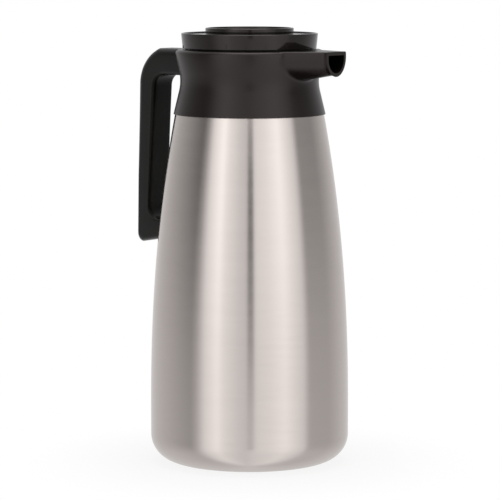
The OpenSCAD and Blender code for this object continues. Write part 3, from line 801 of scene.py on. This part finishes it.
def shell_section(depth):
    """The handle's outside, with a shallow channel in its inner side for the cover."""
    half = HANDLE_W / 2
    outer_r = min(HANDLE_ROUND, depth * HANDLE_ROUND_SHARE)
    inner_r = min(HANDLE_INNER_ROUND, depth * HANDLE_ROUND_SHARE, half - SEAT_HALF - SEAT_EDGE)
    seat_depth = depth - COVER_T
    return rounded([
        (depth, -half, inner_r), (0, -half, outer_r), (0, half, outer_r), (depth, half, inner_r),
        (depth, SEAT_HALF, 0), (seat_depth, SEAT_HALF, 0), (seat_depth, -SEAT_HALF, 0),
        (depth, -SEAT_HALF, 0)], HANDLE_ROUND_STEPS)


def cover_section(depth):
    back = depth - COVER_T + COVER_BACK_GAP
    return [(back, COVER_HALF), (depth, COVER_HALF), (depth, -COVER_HALF), (back, -COVER_HALF)]


def screw_cap_rows():
    """The round recess in the handle's outer face that the screw's cap fills."""
    low, high = span("handle_screw_cap")
    middle_z = (low[2] + high[2]) / 2
    radius = (high[2] - low[2]) / 2 + CAP_GAP
    turns = [2 * pi * k / CAP_SEGMENTS for k in range(CAP_SEGMENTS)]
    return [[(x, radius * cos(turn), middle_z + radius * sin(turn)) for turn in turns]
            for x in (low[0] - CAP_CUT_OUT, high[0] + CAP_BACK_GAP)]


def make_handle():
    for name, section, node in (("handle_outer", shell_section, "handle_shell"),
                                ("handle_inner", cover_section, "handle_cover")):
        rows = handle_rows(section)
        piece = add_piece(name, *grid(rows, cap=True), sharp_deg=HANDLE_SHARP_DEG)
        if node == "handle_shell":
            cut(piece, screw_cap_rows(), sharp_deg=HANDLE_SHARP_DEG)
        place(piece, "pitcher", "handle_black", HANDLE_BLACK, node)


# Lid: outlines of (radius, height, rounding of the corner)
def make_lid():
    low_r = LID_R - LID_DRAFT
    inner_r = low_r - LID_T
    rim_r = LID_R - LID_RIM_W
    hole_r = SPIGOT_R + SPIGOT_GAP
    lid = lathe("lid_top", rounded([
        (low_r, LID_Z, 0.3), (LID_R, LID_TOP_Z, 0.7), (rim_r, LID_TOP_Z, 0.35),
        (rim_r - LID_RIM_LEAN, LID_FLOOR_Z, 0.4), (hole_r, LID_FLOOR_Z, 0), (hole_r, LID_UNDER_Z, 0),
        (inner_r, LID_UNDER_Z, 0.5), (inner_r, LID_Z, 0.2)]))
    place(lid, "lid", "lid_black", LID_BLACK, "lid_cap")


def make_funnel():
    """The raised ring, its dish and the tube below the dish."""
    low_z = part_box("brew_funnel")[0].z / MM
    tube_r = FUNNEL_HOLE_R + 1.2
    foot_z = LID_FLOOR_Z + 0.02
    funnel = lathe("funnel", rounded([
        (FUNNEL_HOLE_R, low_z, 0.2), (tube_r, low_z, 0.2), (tube_r, DISH_Z - 1.8, 0.6),
        (SPIGOT_R - 2, FLANGE_LOW_Z, 0.6), (FLANGE_R, FLANGE_LOW_Z, 0.2),
        (FLANGE_R, FLANGE_TOP_Z, 0), (SPIGOT_R, FLANGE_TOP_Z, 0),
        (SPIGOT_R, foot_z, 0), (FUNNEL_R - FUNNEL_LEAN, foot_z, 0), (FUNNEL_R, FUNNEL_TOP_Z, 0.8),
        (FUNNEL_R - 1.7, FUNNEL_TOP_Z, 0.5), (FUNNEL_R - 2.4, FUNNEL_TOP_Z - 3.2, 1.2),
        (FUNNEL_HOLE_R + 1.5, DISH_Z + 0.6, 0.8), (FUNNEL_HOLE_R, DISH_Z - 0.6, 0.5)]),
        segments=FUNNEL_SEGMENTS)
    place(funnel, "lid", "lid_black", LID_BLACK, "brew_funnel")


def make_ticks():
    """Small raised ticks low on the lid's side."""
    verts, faces = [], []
    for k in range(TICK_COUNT):
        angle = radians(TICK_START + k * TICK_STEP)
        rows = []
        for z, out in TICK_ROWS:
            r = LID_R - LID_DRAFT + LID_DRAFT * z / (LID_TOP_Z - LID_Z)
            section = ((-TICK_FOOT_HALF, 0), (-TICK_FACE_HALF, out),
                       (TICK_FACE_HALF, out), (TICK_FOOT_HALF, 0))
            row = [(r - TICK_SINK + depth, side) for side, depth in section]
            rows.append([(x * cos(angle) - y * sin(angle), x * sin(angle) + y * cos(angle),
                          LID_Z + z) for x, y in row])
        tick_verts, tick_faces = grid(rows, cap=True)
        faces += [tuple(len(verts) + i for i in face) for face in tick_faces]
        verts += tick_verts
    ticks = add_piece("lid_tick_marks", verts, faces)
    place(ticks, "lid", "lid_black", LID_BLACK)


make_shell()
make_collar()
make_spout()
make_handle()
make_lid()
make_funnel()
make_ticks()

# Camera, in metres, degrees and pixels
VIEW_AZIMUTH = 38.0
CAMERA_DISTANCE = 1.8
CAMERA_HEIGHT = 0.34
CAMERA_PITCH = 6.34
FRAME_PIXELS = 500
FOCAL_PIXELS = 2760
SENSOR = 36.0
CAMERA_SHIFT = (0.0009, -0.0016)
CLIP_END = 50.0
camera_data = bpy.data.cameras.new("camera")
camera_data.sensor_width = SENSOR
camera_data.lens = SENSOR * FOCAL_PIXELS / FRAME_PIXELS
camera_data.clip_end = CLIP_END
camera_data.shift_x, camera_data.shift_y = CAMERA_SHIFT
camera = bpy.data.objects.new("camera", camera_data)
azimuth = radians(VIEW_AZIMUTH)
camera.location = (
    CAMERA_DISTANCE * sin(azimuth), -CAMERA_DISTANCE * cos(azimuth), CAMERA_HEIGHT)
camera.rotation_euler = (radians(90 - CAMERA_PITCH), 0, azimuth)
bpy.context.scene.collection.objects.link(camera)
bpy.context.scene.camera = camera

# Studio: the camera sees the world as white, and the object is lit by a ring round it.
# Light level against the angle from the camera's side of the object: two soft boxes, each brighter
# towards its outer edge, flags beside them and the backdrop behind
STUDIO_RING = [
    (-180, 0.72), (-133, 0.5), (-104, 0.34), (-72, 0.13), (-64, 0.36), (-54, 1.02), (-38, 1.46),
    (-30, 1.12), (-12, 0.8), (-4.5, 0.74), (4.5, 0.95), (22, 1.08), (42, 1.38), (54, 1.1),
    (66, 0.86), (74, 0.32), (106, 0.28), (133, 0.48), (180, 0.72)]
# An even ceiling takes over from the ring. This and the rises below are sines of the elevation
TOP_LIGHT = 0.7
TOP_RISE = (0.62, 0.9)
# The pale floor mixes into the ring below: its light, its largest share, and where it sets in
FLOOR_LIGHT = 0.78
FLOOR_SHARE = 0.45
FLOOR_RISE = (0.14, -0.15)
# Further down the floor takes over once more by this share
GROUND_SHARE = 0.35
GROUND_RISE = (-0.25, -0.6)
# Dark gap between the soft boxes: where it is, its half width in degrees, and what it leaves of
# the light
GAP_AT = 1.3
GAP_HALF = (2.8, 4.7)
GAP_LEFT = 0.02
# Where the gap fades out above and below
GAP_TOP = (0.24, 0.38)
GAP_FOOT = (-0.05, -0.22)
# The floor that the object stands on, in metres, and how white the camera sees it near the object
FLOOR_HALF = 14.0
FLOOR_GREY = 0.8
FLOOR_FADE = (0.06, 0.16)
FLOOR_NEAR_WHITE = 0.86
# The lamp overhead, in metres and watts
LAMP_SIZE = 1.6
LAMP_HEIGHT = 2.0
LAMP_POWER = 12.0


def seen_as_white(tree):
    """1 for what the camera sees, also through glass."""
    path = tree.nodes.new("ShaderNodeLightPath").outputs
    return math_node(tree, "MAXIMUM", path["Is Camera Ray"], path["Is Transmission Ray"])


def make_world():
    world = bpy.data.worlds.new("studio")
    bpy.context.scene.world = world
    world.use_nodes = True
    tree = world.node_tree
    background = tree.nodes["Background"]
    coords = tree.nodes.new("ShaderNodeTexCoord")
    split = split_vector(tree, coords.outputs["Generated"])
    up = split["Z"]
    turn = math_node(tree, "ARCTAN2", split["Y"], split["X"])
    # Angle from the middle of the soft boxes, turned into a share of the whole ring
    away = math_node(tree, "SUBTRACT", turn, azimuth - pi / 2)
    share = math_node(tree, "FRACT", math_node(tree, "MULTIPLY_ADD", away, 1 / (2 * pi), 0.5))
    ring = ramp(tree, share, [(a / 360.0 + 0.5, (v, v, v)) for a, v in STUDIO_RING])
    # The gap shows only near the camera's height
    offset = math_node(tree, "SUBTRACT", share, 0.5 + GAP_AT / 360)
    aside = math_node(tree, "ABSOLUTE", offset)
    beside = soft_step(tree, aside, [half / 360 for half in GAP_HALF])
    clear = math_node(
        tree, "MAXIMUM", soft_step(tree, up, GAP_TOP), soft_step(tree, up, GAP_FOOT))
    lit = soft_step(tree, math_node(tree, "MAXIMUM", beside, clear), (-GAP_LEFT, 1.0))
    light = mix_colors(tree, lit, 0.0, ring)
    # Towards the top the ring gives way to an even ceiling, and towards the bottom to the floor
    light = mix_colors(tree, soft_step(tree, up, TOP_RISE), light, TOP_LIGHT)
    for rise, largest in ((FLOOR_RISE, FLOOR_SHARE), (GROUND_RISE, GROUND_SHARE)):
        low = math_node(tree, "MULTIPLY", soft_step(tree, up, rise), largest)
        light = mix_colors(tree, low, light, FLOOR_LIGHT)
    white = mix_colors(tree, seen_as_white(tree), light, 1.0)
    tree.links.new(white, background.inputs["Color"])
    background.inputs["Strength"].default_value = 1.0


def make_floor():
    """A pale floor that the camera sees as white but for the object's shadow."""
    mesh = bpy.data.meshes.new("floor")
    corners = [(x * FLOOR_HALF, y * FLOOR_HALF, 0) for x, y in ((-1, -1), (1, -1), (1, 1), (-1, 1))]
    mesh.from_pydata(corners, [], [(0, 1, 2, 3)])
    floor = bpy.data.objects.new("floor", mesh)
    bpy.context.scene.collection.objects.link(floor)
    mat, tree, bsdf = new_material("floor")
    bsdf.inputs["Base Color"].default_value = (FLOOR_GREY, FLOOR_GREY, FLOOR_GREY, 1)
    bsdf.inputs["Roughness"].default_value = 1.0
    bsdf.inputs["Specular IOR Level"].default_value = 0.0
    # Near the object the floor keeps part of its shading, and further off it is plain white
    coords = tree.nodes.new("ShaderNodeTexCoord")
    distance = put(tree, "ShaderNodeVectorMath", operation="LENGTH")
    tree.links.new(coords.outputs["Object"], distance.inputs[0])
    fade = soft_step(tree, distance.outputs["Value"], FLOOR_FADE, (FLOOR_NEAR_WHITE, 1.0))
    share = math_node(tree, "MULTIPLY", seen_as_white(tree), fade)
    white = put(tree, "ShaderNodeEmission", Strength=1.0)
    seen = mix_shaders(tree, share, bsdf.outputs[0], white.outputs[0])
    # Metal and gloss see the ring on through the floor, so that its bands run down to the base
    path = tree.nodes.new("ShaderNodeLightPath")
    clear = tree.nodes.new("ShaderNodeBsdfTransparent")
    through = mix_shaders(tree, path.outputs["Is Glossy Ray"], seen, clear.outputs[0])
    tree.links.new(through, tree.nodes["Material Output"].inputs["Surface"])
    mesh.materials.append(mat)


def make_lamp():
    """A large soft lamp overhead."""
    lamp_data = bpy.data.lights.new("top_light", "AREA")
    lamp_data.shape = "DISK"
    lamp_data.size = LAMP_SIZE
    lamp_data.energy = LAMP_POWER
    lamp = bpy.data.objects.new("top_light", lamp_data)
    lamp.location = (0, 0, LAMP_HEIGHT)
    bpy.context.scene.collection.objects.link(lamp)


make_world()
make_floor()
make_lamp()
bpy.context.scene.view_settings.view_transform = "Standard"
